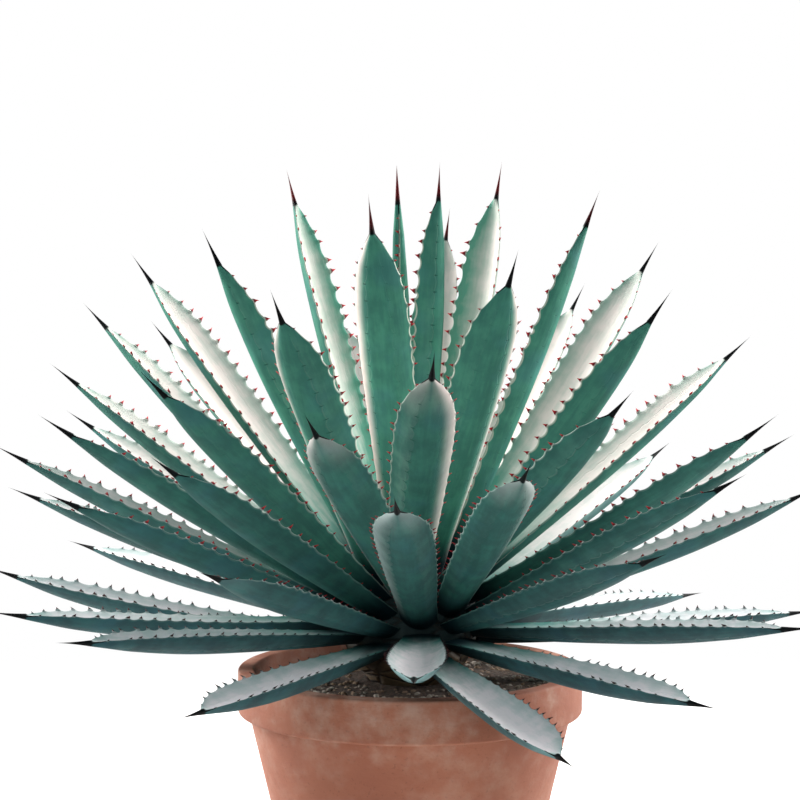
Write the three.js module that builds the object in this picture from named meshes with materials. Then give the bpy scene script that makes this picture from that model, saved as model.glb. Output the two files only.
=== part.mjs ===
import * as THREE from "three";

// A blue agave growing in a plain clay pot. Millimetres, +Z up, the front of the plant faces -Y.
// Azimuth 0 points at the viewer and grows towards +X; elevation is measured up from level.

// The plant's driving dimensions
const CROWN_HEIGHT = 238;
const STEM_RADIUS = 58;
const SEAT_GAP = 0.95;
const SPINE_LENGTH = 33;
const TEETH_PER_SIDE = 8;
const TOOTH_LENGTH = 3.4;
const TOOTH_HALF_BASE = 2.4;
const SCALLOP_DEPTH = 1.3;
const FIRST_TOOTH = 0.2;
const LAST_TOOTH = 0.93;

// The pot's driving dimensions
const POT_HEIGHT = 200;
const FOOT_RADIUS = 98;
const FOOT_RING_INSIDE = 70;
const FOOT_RECESS = 3;
const COLLAR_RADIUS = 146;
const COLLAR_HEIGHT = 36;
const COLLAR_STEP = 9;
const RIM_THICKNESS = 14;
const WALL_THICKNESS = 9;
const FLOOR_HEIGHT = 14;
const DRAIN_RADIUS = 10;
const EDGE_ROUNDING = 2.5;
const ROUND_SIDES = 36;

// The soil and the buried end of the stem
const SOIL_LEVEL = 186;
const SOIL_MOUND = 5;
const NECK_RADIUS = 36;
const NECK_DROP = 46;
const BURIED_DROP = 104;
const FIT_GAP = 0.3;

const crown = new THREE.Vector3(0, 0, CROWN_HEIGHT);

// A blade's section from the stem, at 0, to the end of the blade, at 1. Widths are shares of the
// widest half width; lifts are millimetres above the leaf's middle line, towards its upper face.
const BLADE = {
  half: [[0, 0.7], [0.15, 0.75], [0.42, 0.92], [0.68, 1], [0.82, 0.94], [0.9, 0.74], [0.955, 0.43], [1, 0.11]],
  margin: [[0, 3.5], [0.15, 5.5], [0.4, 8], [0.65, 9], [0.85, 7], [0.95, 3.5], [1, 0.6]],
  top: [[0, 5], [0.15, 3], [0.4, 0], [0.65, -2], [0.85, -1.5], [0.95, -0.3], [1, 2.2]],
  keel: [[0, -5.5], [0.15, -7], [0.4, -8.5], [0.65, -9], [0.85, -6.5], [0.95, -3.8], [1, -2.4]],
};
const KEEL_ROUNDNESS = 2.7;
const SPINE_TAPER = 0.75;

// Eight lines run along every leaf: its two margins, three on the upper and three on the lower face.
const LINES = [
  { across: -1, face: 0 },
  { across: -0.5, face: 1 },
  { across: 0, face: 1 },
  { across: 0.5, face: 1 },
  { across: 1, face: 0 },
  { across: 0.5, face: -1 },
  { across: 0, face: -1 },
  { across: -0.5, face: -1 },
];
const FACE_STATIONS = [0, 0.15, 0.35, 0.55, 0.72, 0.86, 0.945, 1];

// Each leaf: azimuth and elevation of its spine's tip seen from the crown, the tip's distance from
// the crown, the blade's widest width, how far its middle bows outwards, and its roll in degrees.
const LEAVES = [
  // The lowest ring, some of it hanging just below level
  [-43.5, 4.5, 372, 42, 2, 0],
  [-61, 5.8, 372, 42, 8, 0],
  [-99, 6, 382, 40, 11, 0],
  [-122, 6.7, 385, 42, 2, 0],
  [-26, -2, 368, 40, 2, 0],
  [0, 3, 372, 42, 2, 0],
  [36, -2, 370, 40, 2, 0],
  [54.5, 4.8, 375, 42, 3, 0],
  [105, -0.8, 384, 42, 3, 0],
  [131.5, -1.9, 385, 40, 2, 0],
  [158, 2, 372, 40, 2, 0],
  [180, 10, 372, 42, 2, 0],
  [-158, 4, 372, 40, 2, 0],
  [18, -7, 365, 40, 2, 0],
  // The lower spread
  [-23, 13.7, 385, 42, 2, 0],
  [28, 15.2, 385, 44, 2, 0],
  [-104, 16.1, 385, 42, 2, 0],
  [-48, 20.5, 385, 42, 2, 0],
  [-90, 23.2, 385, 40, 4, 0],
  [99.5, 16.8, 385, 42, 6, 0],
  [42.6, 22.9, 385, 42, 2, 0],
  [104, 23.6, 385, 42, 4, 0],
  [135, 20.5, 385, 42, 2, 0],
  [157, 17, 372, 42, 2, 0],
  [-142, 14, 372, 42, 2, 0],
  [-2, 21.9, 385, 44, 2, 0],
  [-166, 27, 375, 42, 2, 0],
  [178, 31, 375, 42, 2, 0],
  // The middle of the rosette
  [-32, 25.5, 385, 42, 2, 0],
  [-57, 29.2, 385, 42, 2, 0],
  [-114, 26.6, 385, 40, 2, 0],
  [-102, 34, 390, 42, 2, 0],
  [13.5, 25.4, 385, 42, 2, 0],
  [-13, 30.8, 385, 44, 2, 0],
  [-39, 35.5, 385, 44, 2, 0],
  [29, 33.2, 385, 44, 2, 0],
  [55, 29.3, 385, 44, 8, 0],
  [3, 38.5, 385, 46, 2, 0],
  [152, 36, 375, 42, 2, 0],
  [105, 37.7, 395, 42, 2, 8],
  [-124, 41.4, 385, 44, 2, -10],
  [-103, 42.7, 400, 44, 2, 0],
  [49, 47.1, 385, 46, 2, 0],
  [-23, 47.1, 385, 46, 2, 0],
  [139.5, 48.6, 385, 42, 2, 0],
  // The upright leaves around the heart
  [20.4, 54, 385, 46, 2, 0],
  [111, 54, 402, 44, 2, 20],
  [-104, 51.4, 402, 44, 2, -12],
  [-56, 59, 385, 42, 2, 0],
  [-164, 46, 380, 42, 2, 0],
  [80, 66.4, 398, 42, 1, 0],
  [-13, 67.6, 385, 44, 2, 0],
  [165, 68.2, 385, 40, 2, 0],
  [-108, 73.9, 402, 40, 2, -10],
  [105, 78.3, 400, 42, 2, 30],
  [60, 85.8, 390, 36, 2, 0],
];

// The heart is the youngest leaves, still furled into one spear.
const HEART = {
  azimuth: -100,
  elevation: 88.3,
  reach: 387,
  radius: 8.5,
  sides: 10,
  swelling: [[0, 0.75], [0.2, 0.9], [0.45, 1], [0.66, 0.88], [0.82, 0.56]],
};

// The roots crowd on the stem: each keeps a footprint of this many degrees around itself.
const ROOT_SPACING = { across: 36, along: 14.5 };
const ROOT_STEPS = 500;
const ROOT_PULL = 0.01;

function direction(azimuth, elevation) {
  const a = THREE.MathUtils.degToRad(azimuth);
  const e = THREE.MathUtils.degToRad(elevation);
  return new THREE.Vector3(Math.sin(a) * Math.cos(e), -Math.cos(a) * Math.cos(e), Math.sin(e));
}

// The level direction across a leaf that grows towards this azimuth.
function levelSide(azimuth) {
  const a = THREE.MathUtils.degToRad(azimuth);
  return new THREE.Vector3(Math.cos(a), Math.sin(a), 0);
}

// The part of a vector that lies square to a unit direction, at unit length.
function square(vector, unit) {
  return vector.clone().addScaledVector(unit, -vector.dot(unit)).normalize();
}

// A smooth curve through [place, value] knots.
function smooth(knots, place) {
  let k = 0;
  while (k < knots.length - 2 && place > knots[k + 1][0]) k += 1;
  const [x0, y0] = knots[k];
  const [x1, y1] = knots[k + 1];
  const slope = (i) => {
    const a = knots[Math.max(0, i - 1)];
    const b = knots[Math.min(knots.length - 1, i + 1)];
    return (b[1] - a[1]) / (b[0] - a[0]);
  };
  const w = x1 - x0;
  const t = (place - x0) / w;
  const start = (1 + 2 * t) * (1 - t) ** 2 * y0 + t * (1 - t) ** 2 * w * slope(k);
  const end = t * t * (3 - 2 * t) * y1 + t * t * (t - 1) * w * slope(k + 1);
  return start + end;
}

// Pushes the leaves' roots apart over the stem's round head, starting below their tips.
function rootDirections(rows) {
  const wanted = rows.map(([azimuth, elevation]) => direction(azimuth, elevation));
  const roots = wanted.map((d) => d.clone());
  const sides = rows.map(([azimuth]) => levelSide(azimuth));
  const acrossAngle = THREE.MathUtils.degToRad(ROOT_SPACING.across);
  const alongAngle = THREE.MathUtils.degToRad(ROOT_SPACING.along);
  for (let step = 0; step < ROOT_STEPS; step += 1) {
    const moves = roots.map((root, i) => wanted[i].clone().sub(root).multiplyScalar(ROOT_PULL));
    for (let i = 0; i < roots.length; i += 1) {
      for (let j = i + 1; j < roots.length; j += 1) {
        const apart = roots[i].clone().sub(roots[j]);
        const middle = roots[i].clone().add(roots[j]).normalize();
        const facing = Math.sign(sides[i].dot(sides[j])) || 1;
        const side = square(sides[i].clone().addScaledVector(sides[j], facing), middle);
        const rise = middle.clone().cross(side);
        const across = apart.dot(side) / acrossAngle;
        const along = apart.dot(rise) / alongAngle;
        const distance = Math.hypot(across, along);
        if (distance < 1) {
          const push = (0.25 * (1 - distance)) / (distance + 0.05);
          const move = side.multiplyScalar(across * acrossAngle * push);
          move.addScaledVector(rise, along * alongAngle * push);
          moves[i].add(move);
          moves[j].sub(move);
        }
      }
    }
    roots.forEach((root, i) => root.add(moves[i]).normalize());
  }
  return roots;
}

// A leaf's middle line and the frame along it.
function leafPath([azimuth, elevation, reach, width, bow, roll], root) {
  const start = crown.clone().addScaledVector(root, STEM_RADIUS + SEAT_GAP);
  const tip = crown.clone().addScaledVector(direction(azimuth, elevation), reach);
  const chord = tip.clone().sub(start);
  const length = chord.length();
  chord.normalize();
  const level = square(levelSide(azimuth), chord);
  const bend = chord.clone().cross(level).multiplyScalar(-bow);
  const side = level.applyAxisAngle(chord, THREE.MathUtils.degToRad(roll));
  const frameAt = (place) => {
    const centre = start.clone().lerp(tip, place).addScaledVector(bend, 4 * place * (1 - place));
    const forward = chord.clone().multiplyScalar(length).addScaledVector(bend, 4 - 8 * place).normalize();
    const sideways = square(side, forward);
    return { centre, forward, sideways, upward: forward.clone().cross(sideways) };
  };
  return { frameAt, bladeShare: 1 - SPINE_LENGTH / length, length, halfWidth: width / 2 };
}

// One point of a leaf: its place along the leaf, its place across, and the face it lies on.
function leafPoint(path, place, across, face, outward = 0) {
  const blade = Math.min(1, place / path.bladeShare);
  const spine = Math.max(0, (place - path.bladeShare) / (1 - path.bladeShare));
  const taper = Math.max(0, 1 - spine) ** SPINE_TAPER;
  const edge = smooth(BLADE.margin, blade);
  const reached = smooth(face > 0 ? BLADE.top : BLADE.keel, blade);
  const fall = face > 0 ? 1 - across * across : 1 - Math.abs(across) ** KEEL_ROUNDNESS;
  const lift = (edge + (reached - edge) * fall) * taper;
  const half = smooth(BLADE.half, blade) * path.halfWidth * taper;
  const frame = path.frameAt(place);
  const point = frame.centre.clone();
  point.addScaledVector(frame.sideways, across * half + Math.sign(across) * outward);
  return point.addScaledVector(frame.upward, lift);
}

// Slides a root point along its leaf until it lies on the seat around the stem's round head.
function seatOnStem(point, forward) {
  const seat = STEM_RADIUS + SEAT_GAP;
  const from = point.clone().sub(crown);
  const along = from.dot(forward);
  const slide = -along + Math.sqrt(along * along - from.lengthSq() + seat * seat);
  return point.clone().addScaledVector(forward, slide);
}

// The margin's points between and on the teeth, as [place, how far outside the plain outline].
function marginStations(path) {
  const base = TOOTH_HALF_BASE / path.length;
  const pitch = ((LAST_TOOTH - FIRST_TOOTH) * path.bladeShare) / (TEETH_PER_SIDE - 1);
  const stations = [[0, 0], [0.5 * FIRST_TOOTH * path.bladeShare, 0]];
  for (let tooth = 0; tooth < TEETH_PER_SIDE; tooth += 1) {
    const place = FIRST_TOOTH * path.bladeShare + tooth * pitch;
    const growth = 0.7 + 0.3 * Math.sin((Math.PI * tooth) / (TEETH_PER_SIDE - 1));
    stations.push([place - pitch / 2, tooth > 0 ? -SCALLOP_DEPTH : 0]);
    stations.push([place - base, 0]);
    stations.push([place, TOOTH_LENGTH * growth]);
    stations.push([place + base, 0]);
  }
  stations.push([path.bladeShare, 0]);
  return stations;
}

// Fills the strip between two neighbouring lines whose points carry their place along the leaf.
function zip(left, right, triangles) {
  let i = 0;
  let j = 0;
  while (i < left.length - 1 || j < right.length - 1) {
    const onLeft = j === right.length - 1 || (i < left.length - 1 && left[i + 1].place <= right[j + 1].place);
    const next = onLeft ? left[i + 1].index : right[j + 1].index;
    const corner = [left[i].index, next, right[j].index];
    if (new Set(corner).size === 3) triangles.push(...corner);
    if (onLeft) i += 1;
    else j += 1;
  }
}

function closedGeometry(points, triangles) {
  const geometry = new THREE.BufferGeometry();
  geometry.setAttribute("position", new THREE.Float32BufferAttribute(points.flatMap((p) => p.toArray()), 3));
  geometry.setIndex(triangles);
  geometry.computeVertexNormals();
  return geometry;
}

// A whole leaf in one body: blade, scalloped margins with their teeth, and the end spine.
function leafGeometry(row, root) {
  const path = leafPath(row, root);
  const spineMiddle = (1 + path.bladeShare) / 2;
  const points = [path.frameAt(1).centre];
  const triangles = [];
  const faceStations = FACE_STATIONS.map((s) => [s * path.bladeShare, 0]);
  const lines = LINES.map(({ across, face }) => {
    const stations = face === 0 ? marginStations(path) : faceStations;
    const line = [...stations, [spineMiddle, 0]].map(([place, outward]) => {
      let point = leafPoint(path, place, across, face, outward);
      if (place === 0) point = seatOnStem(point, path.frameAt(0).forward);
      points.push(point);
      return { place, index: points.length - 1 };
    });
    line.push({ place: 1, index: 0 });
    return line;
  });
  lines.forEach((line, i) => zip(line, lines[(i + 1) % lines.length], triangles));
  points.push(seatOnStem(path.frameAt(0).centre, path.frameAt(0).forward));
  const rootMiddle = points.length - 1;
  lines.forEach((line, i) => {
    triangles.push(line[0].index, lines[(i + 1) % lines.length][0].index, rootMiddle);
  });
  return closedGeometry(points, triangles);
}

// The furled spear: a round column that swells a little, then narrows to its spine.
function heartGeometry(root) {
  const start = crown.clone().addScaledVector(root, STEM_RADIUS + SEAT_GAP);
  const tip = crown.clone().addScaledVector(direction(HEART.azimuth, HEART.elevation), HEART.reach);
  const length = start.distanceTo(tip);
  const axis = tip.clone().sub(start).normalize();
  const side = square(new THREE.Vector3(1, 0, 0), axis);
  const back = axis.clone().cross(side);
  const bladeShare = 1 - SPINE_LENGTH / length;
  const spine = [[bladeShare, 0.27], [(1 + bladeShare) / 2, 0.15]];
  const rings = [...HEART.swelling, ...spine].map(([place, share]) => {
    const ring = [];
    for (let k = 0; k < HEART.sides; k += 1) {
      const turn = (2 * Math.PI * k) / HEART.sides;
      const point = start.clone().lerp(tip, place);
      point.addScaledVector(side, Math.cos(turn) * HEART.radius * share);
      point.addScaledVector(back, Math.sin(turn) * HEART.radius * share);
      ring.push(place === 0 ? seatOnStem(point, axis) : point);
    }
    return ring;
  });
  const points = [tip, start, ...rings.flat()];
  const corner = (level, k) => 2 + level * HEART.sides + (k % HEART.sides);
  const top = rings.length - 1;
  const triangles = [];
  for (let k = 0; k < HEART.sides; k += 1) {
    triangles.push(1, corner(0, k + 1), corner(0, k));
    triangles.push(0, corner(top, k), corner(top, k + 1));
    for (let level = 0; level < top; level += 1) {
      triangles.push(corner(level, k), corner(level, k + 1), corner(level + 1, k));
      triangles.push(corner(level, k + 1), corner(level + 1, k + 1), corner(level + 1, k));
    }
  }
  return closedGeometry(points, triangles);
}

// Turns a profile of [radius, height] points around the upright axis.
function lathe(profile) {
  const geometry = new THREE.LatheGeometry(profile.map(([r, z]) => new THREE.Vector2(r, z)), ROUND_SIDES);
  return geometry.rotateX(Math.PI / 2);
}

// The pot's inner wall, from the floor up to the rim.
function innerRadius(height) {
  const bottom = FOOT_RADIUS - WALL_THICKNESS;
  const top = COLLAR_RADIUS - RIM_THICKNESS;
  return bottom + ((top - bottom) * (height - FLOOR_HEIGHT)) / (POT_HEIGHT - FLOOR_HEIGHT);
}

function potGeometry() {
  const collarBottom = POT_HEIGHT - COLLAR_HEIGHT;
  const r = EDGE_ROUNDING;
  return lathe([
    [DRAIN_RADIUS, FOOT_RECESS],
    [FOOT_RING_INSIDE - FOOT_RECESS, FOOT_RECESS],
    [FOOT_RING_INSIDE, 0],
    [FOOT_RADIUS - r, 0],
    [FOOT_RADIUS, r],
    [COLLAR_RADIUS - COLLAR_STEP, collarBottom],
    [COLLAR_RADIUS - r, collarBottom],
    [COLLAR_RADIUS, collarBottom + r],
    [COLLAR_RADIUS, POT_HEIGHT - r],
    [COLLAR_RADIUS - r, POT_HEIGHT],
    [COLLAR_RADIUS - RIM_THICKNESS + r, POT_HEIGHT],
    [innerRadius(POT_HEIGHT - r), POT_HEIGHT - r],
    [innerRadius(FLOOR_HEIGHT), FLOOR_HEIGHT],
    [DRAIN_RADIUS, FLOOR_HEIGHT],
    [DRAIN_RADIUS, FOOT_RECESS],
  ]);
}

// The stem's outline, grown by a clearance for the hole that it stands in.
function neckRadius(height) {
  const neckHeight = CROWN_HEIGHT - NECK_DROP;
  const buriedHeight = CROWN_HEIGHT - BURIED_DROP;
  return (NECK_RADIUS * (height - buriedHeight)) / (neckHeight - buriedHeight);
}

function soilGeometry() {
  const floor = FLOOR_HEIGHT + FIT_GAP;
  const holeGap = 2 * FIT_GAP;
  const holeEdge = neckRadius(SOIL_LEVEL + SOIL_MOUND) + holeGap;
  const outside = (height) => innerRadius(height) - FIT_GAP;
  const halfWay = (outside(SOIL_LEVEL) + holeEdge) / 2;
  return lathe([
    [0, floor],
    [outside(floor), floor],
    [outside(SOIL_LEVEL), SOIL_LEVEL],
    [halfWay, SOIL_LEVEL + 0.7 * SOIL_MOUND],
    [holeEdge, SOIL_LEVEL + SOIL_MOUND],
    [holeGap, CROWN_HEIGHT - BURIED_DROP - holeGap],
    [0, CROWN_HEIGHT - BURIED_DROP - holeGap],
  ]);
}

function stemGeometry() {
  const profile = [[0, CROWN_HEIGHT - BURIED_DROP], [NECK_RADIUS, CROWN_HEIGHT - NECK_DROP]];
  const lowest = -40;
  const arcSteps = 10;
  for (let k = 0; k <= arcSteps; k += 1) {
    const angle = THREE.MathUtils.degToRad(lowest + ((90 - lowest) * k) / arcSteps);
    const radius = k === arcSteps ? 0 : STEM_RADIUS * Math.cos(angle);
    profile.push([radius, CROWN_HEIGHT + STEM_RADIUS * Math.sin(angle)]);
  }
  return lathe(profile);
}

function clayMaterial() {
  return new THREE.MeshStandardMaterial({ color: "#b5714f", roughness: 0.85, metalness: 0 });
}

function soilMaterial() {
  return new THREE.MeshStandardMaterial({ color: "#4a3a2d", roughness: 1, metalness: 0 });
}

function stemMaterial() {
  return new THREE.MeshStandardMaterial({ color: "#8e9a78", roughness: 0.8, metalness: 0 });
}

// Low leaves are bluer and darker, the upright ones a clearer green.
function leafMaterial(elevation) {
  const color = new THREE.Color("#3f6b6c").lerp(new THREE.Color("#4b8c74"), Math.min(1, elevation / 80));
  return new THREE.MeshStandardMaterial({ color, roughness: 0.6, metalness: 0 });
}

function named(name, geometry, material) {
  const mesh = new THREE.Mesh(geometry, material);
  mesh.name = name;
  return mesh;
}

function agaveRosette() {
  const rosette = new THREE.Group();
  const heartRow = [HEART.azimuth, HEART.elevation];
  const roots = rootDirections([...LEAVES, heartRow]);
  LEAVES.forEach((row, i) => {
    const name = `leaf_${String(i + 1).padStart(2, "0")}`;
    rosette.add(named(name, leafGeometry(row, roots[i]), leafMaterial(row[1])));
  });
  rosette.add(named("heart", heartGeometry(roots.at(-1)), leafMaterial(HEART.elevation)));
  rosette.add(named("stem", stemGeometry(), stemMaterial()));
  return rosette;
}

function filledPot() {
  const pot = new THREE.Group();
  pot.add(named("pot", potGeometry(), clayMaterial()));
  pot.add(named("soil", soilGeometry(), soilMaterial()));
  return pot;
}

const group = new THREE.Group();
group.add(filledPot());
group.add(agaveRosette());

export default group;
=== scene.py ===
# %% [markdown]
# # A potted blue agave
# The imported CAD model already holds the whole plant: a clay pot, its soil, the short stem and
# fifty-six leaves round a furled heart. It sets every size and place, and it stays as it is.
# This lesson dresses it: each leaf becomes a finer surface with its full row of teeth, and each
# surface gets a finish. Shapes are worked out in millimetres, as in the CAD source, and become
# metres as they go into Blender, in the frame that the CAD model uses.

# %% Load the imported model
import bpy
import numpy as np
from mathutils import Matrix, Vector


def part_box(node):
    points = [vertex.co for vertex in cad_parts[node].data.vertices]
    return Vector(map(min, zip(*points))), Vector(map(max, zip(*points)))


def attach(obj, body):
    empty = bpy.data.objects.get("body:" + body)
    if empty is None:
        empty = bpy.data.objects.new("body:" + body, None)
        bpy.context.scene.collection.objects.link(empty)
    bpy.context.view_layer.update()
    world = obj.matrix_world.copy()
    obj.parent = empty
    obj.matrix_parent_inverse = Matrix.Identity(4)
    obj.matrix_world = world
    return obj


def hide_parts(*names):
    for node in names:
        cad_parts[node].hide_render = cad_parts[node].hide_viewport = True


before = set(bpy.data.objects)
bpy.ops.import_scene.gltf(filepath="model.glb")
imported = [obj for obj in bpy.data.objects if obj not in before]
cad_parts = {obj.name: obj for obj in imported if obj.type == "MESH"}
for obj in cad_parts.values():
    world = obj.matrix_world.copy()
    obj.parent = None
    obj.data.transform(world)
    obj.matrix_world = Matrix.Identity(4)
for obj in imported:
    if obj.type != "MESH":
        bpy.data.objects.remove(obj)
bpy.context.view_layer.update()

# %% [markdown]
# ## Where the camera stands
# The photograph looks at the crown, where all the leaves meet, from almost level. A far camera
# with a long lens keeps the front leaves from swelling. The crown isn't in the middle of the
# picture, so the camera is slid sideways and up, square to its line of sight, and not turned:
# that keeps upright things upright.

# %% Camera
CROWN = np.array([0.0, 0.0, 0.238])
CAMERA_DISTANCE = 1.7
CAMERA_TILT = np.radians(3.0)
CAMERA_SLIDE = -0.0085
CAMERA_RISE = 0.1887
LENS_MM = 90.0
SENSOR_MM = 36.0


def add_object(name, data):
    thing = bpy.data.objects.new(name, data)
    bpy.context.collection.objects.link(thing)
    return thing


def add_camera():
    """Stands back from the crown, a little above level, then slides and rises square to its view."""
    towards = np.array([0.0, -np.cos(CAMERA_TILT), np.sin(CAMERA_TILT)])
    upright = np.array([0.0, np.sin(CAMERA_TILT), np.cos(CAMERA_TILT)])
    data = bpy.data.cameras.new("camera")
    data.lens = LENS_MM
    data.sensor_width = SENSOR_MM
    camera = add_object("camera", data)
    camera.location = CROWN + towards * CAMERA_DISTANCE + upright * CAMERA_RISE + [CAMERA_SLIDE, 0, 0]
    camera.rotation_euler = (np.pi / 2 - CAMERA_TILT, 0, 0)
    bpy.context.scene.camera = camera
    return camera


print("camera at", tuple(round(c, 3) for c in add_camera().location))

# %% [markdown]
# ## Shader sums as plain Python
# A finish is a sum of masks: bloom here, a dark edge there. Node trees written link by link hide
# that sum, so one small class wraps a socket and gives it Python's operators. Adding two wired
# values adds a Math node; numbers alone are worked out before any node exists.

# %% The Wire class


class Wire:
    """A node's output in a material. Its arithmetic adds Math nodes to the same tree."""

    def __init__(self, finish, socket):
        self.finish = finish
        self.socket = socket

    def math(self, operation, *others):
        inputs = dict(enumerate((self, *others)))
        return self.finish.node("ShaderNodeMath", {"operation": operation}, inputs)

    def __add__(self, other):
        return self.math("ADD", other)

    def __mul__(self, other):
        return self.math("MULTIPLY", other)

    __radd__ = __add__
    __rmul__ = __mul__

    def __sub__(self, other):
        return self.math("SUBTRACT", other)

    def __rsub__(self, other):
        return self.finish.node("ShaderNodeMath", {"operation": "SUBTRACT"}, {0: other, 1: self})

    def __abs__(self):
        return self.math("ABSOLUTE")

    def step(self, low, high):
        """Rises smoothly from 0 at low to 1 at high; with low above high it falls instead."""
        if low > high:
            return 1 - self.step(high, low)
        settings = {"interpolation_type": "SMOOTHSTEP"}
        return self.finish.node("ShaderNodeMapRange", settings, {0: self, 1: low, 2: high})


# %% [markdown]
# ## A finish from layers
# A finish is painted as a maker would paint it: a ground colour, then layers over it, each with
# a mask that says where it lies. Relief is built up in the same way, from heights and depths.
# Colours are given in screen values and turned into the linear ones that light works with.

# %% The Finish class


def srgb(red, green, blue):
    """A colour given as screen values from 0 to 255, as the linear colour that shaders use."""
    value = np.array([red, green, blue]) / 255
    linear = np.where(value < 0.04045, value / 12.92, ((value + 0.055) / 1.055) ** 2.4)
    return (*linear, 1.0)


class Finish:
    """The node tree of a material or a world, built from wires."""

    def __init__(self, owner):
        owner.use_nodes = True
        self.owner = owner
        self.tree = owner.node_tree
        self.tree.nodes.clear()

    def node(self, kind, settings=None, inputs=None, out=0):
        """Adds a node and gives it its settings first, then a link or a value for each socket."""
        node = self.tree.nodes.new(kind)
        for name, value in (settings or {}).items():
            setattr(node, name, value)
        for key, value in (inputs or {}).items():
            if isinstance(value, Wire):
                self.tree.links.new(value.socket, node.inputs[key])
            else:
                node.inputs[key].default_value = value
        return Wire(self, node.outputs[out]) if node.outputs else None

    def attribute(self, name):
        return self.node("ShaderNodeAttribute", {"attribute_name": name}, out="Fac")

    def place(self):
        """Where a point lies on the object, as a vector in metres."""
        return self.node("ShaderNodeTexCoord", out="Object")

    def height(self, place):
        return self.node("ShaderNodeSeparateXYZ", None, {0: place}, out=2)

    def vector(self, x, y, z):
        return self.node("ShaderNodeCombineXYZ", None, {0: x, 1: y, 2: z})

    def stretched(self, place, x, y, z):
        """A place scaled along each axis: a noise read there is drawn out where the scale is small."""
        return self.node("ShaderNodeVectorMath", {"operation": "MULTIPLY"}, {0: place, 1: (x, y, z)})

    def noise(self, vector, scale, detail=3.0, roughness=0.55):
        inputs = {"Vector": vector, "Scale": scale, "Detail": detail, "Roughness": roughness}
        return self.node("ShaderNodeTexNoise", None, inputs)

    def mix(self, amount, first, second):
        """Mixes two colours, wired or in screen values: all first at 0, all second at 1."""
        first, second = (c if isinstance(c, Wire) else srgb(*c) for c in (first, second))
        inputs = {"Factor": amount, 6: first, 7: second}
        return self.node("ShaderNodeMix", {"data_type": "RGBA"}, inputs, out=2)

    def paint(self, colour, *layers):
        """Lays colours over a ground colour, each given with the amount of it, from 0 to 1."""
        for amount, layer in layers:
            colour = self.mix(amount, colour, layer)
        return colour

    def relief(self, *layers):
        """Adds up relief from heights of 0 to 1, each given with its depth in metres."""
        below = {}
        for height, depth in layers:
            inputs = {"Height": height, "Distance": depth, "Strength": 1.0, **below}
            below = {"Normal": self.node("ShaderNodeBump", None, inputs)}
        return below["Normal"]

    def surface(self, inputs):
        shader = self.node("ShaderNodeBsdfPrincipled", None, inputs)
        self.node("ShaderNodeOutputMaterial", None, {"Surface": shader})
        print("a finish of", len(self.tree.nodes), "nodes")
        return self.owner


def new_finish(name):
    return Finish(bpy.data.materials.new(name))


print("a middle grey is", [round(c, 3) for c in srgb(128, 128, 128)])

# %% [markdown]
# ## Surfaces from arrays
# Every new piece here is a tube of some kind: rings of points, one ring after another. numpy
# works out all the points at once, and one helper joins neighbouring rings with quads and closes
# the two ends. Extra values, such as how far along the leaf a point lies, ride along as
# attributes, and the finishes read them.

# %% Faces from point numbers
NO_TRIANGLES = np.zeros((0, 3), int)


def ring_quads(rings, around, closed=False):
    """Quads between each ring of points and the next, with the points numbered ring by ring. On a
    closed profile the last ring joins the first, and the quads face the other way."""
    here = np.arange(rings * around).reshape(rings, around)
    beside = np.roll(here, -1, axis=1)
    quads = np.stack([here, np.roll(here, -1, axis=0), np.roll(beside, -1, axis=0), beside], axis=-1)
    return (quads[..., [0, 3, 2, 1]] if closed else quads[:-1]).reshape(-1, 4)


def fan(ring, centre):
    """Triangles that close a ring of point numbers at its centre."""
    return np.stack([ring, np.roll(ring, -1), np.full(len(ring), centre)], axis=-1)


def tube_faces(rings, around, flipped=False):
    """Quads of a tube, and triangles that close it at the two points numbered after its rings. They
    face outwards where rings run clockwise seen from the end, or the other way if flipped."""
    ring = np.arange(around)
    quads = ring_quads(rings, around)
    start = rings * around
    caps = np.concatenate([fan(ring, start), fan(ring[::-1] + start - around, start + 1)])
    return (quads[:, ::-1], caps[:, ::-1]) if flipped else (quads, caps)


def copies(faces, count, size, first=0):
    """The faces of one shape of size points, repeated for count such shapes numbered from first."""
    starts = first + size * np.arange(count)
    return (faces + starts[:, None, None]).reshape(-1, faces.shape[1])


print("a tube of 3 rings of 4 points has", sum(len(part) for part in tube_faces(3, 4)), "faces")

# %% Pieces from arrays


def enclosed_volume(points, quads, triangles):
    """Signed volume of a closed mesh, from the tetrahedra between its faces and the origin."""
    corners = np.concatenate([triangles, quads[:, [0, 1, 2]], quads[:, [0, 2, 3]]])
    a, b, c = (points[corners[:, k]] for k in range(3))
    return np.einsum("ij,ij->i", a, np.cross(b, c)).sum() / 6


def add_piece(name, points, quads, triangles, material, attributes=None):
    """Puts arrays in mm into a mesh object with smooth faces, its material and its attributes."""
    mesh = bpy.data.meshes.new(name)
    sizes = np.concatenate([np.full(len(quads), 4), np.full(len(triangles), 3)])
    starts = np.concatenate([[0], np.cumsum(sizes)[:-1]]).astype(np.int32)
    corners = np.concatenate([quads.ravel(), triangles.ravel()]).astype(np.int32)
    mesh.vertices.add(len(points))
    mesh.vertices.foreach_set("co", (points / 1000).astype(np.float32).ravel())
    mesh.loops.add(len(corners))
    mesh.loops.foreach_set("vertex_index", corners)
    mesh.polygons.add(len(sizes))
    mesh.polygons.foreach_set("loop_start", starts)
    mesh.update(calc_edges=True)
    mesh.shade_smooth()
    for key, values in (attributes or {}).items():
        layer = mesh.attributes.new(key, "FLOAT", "POINT")
        layer.data.foreach_set("value", np.broadcast_to(values, len(points)).astype(np.float32))
    mesh.materials.append(material)
    return add_object(name, mesh)


def dress(piece, slot, *nodes):
    """Lets a piece stand for CAD nodes, in the plant's one body."""
    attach(piece, "root")
    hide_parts(*nodes)


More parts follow.
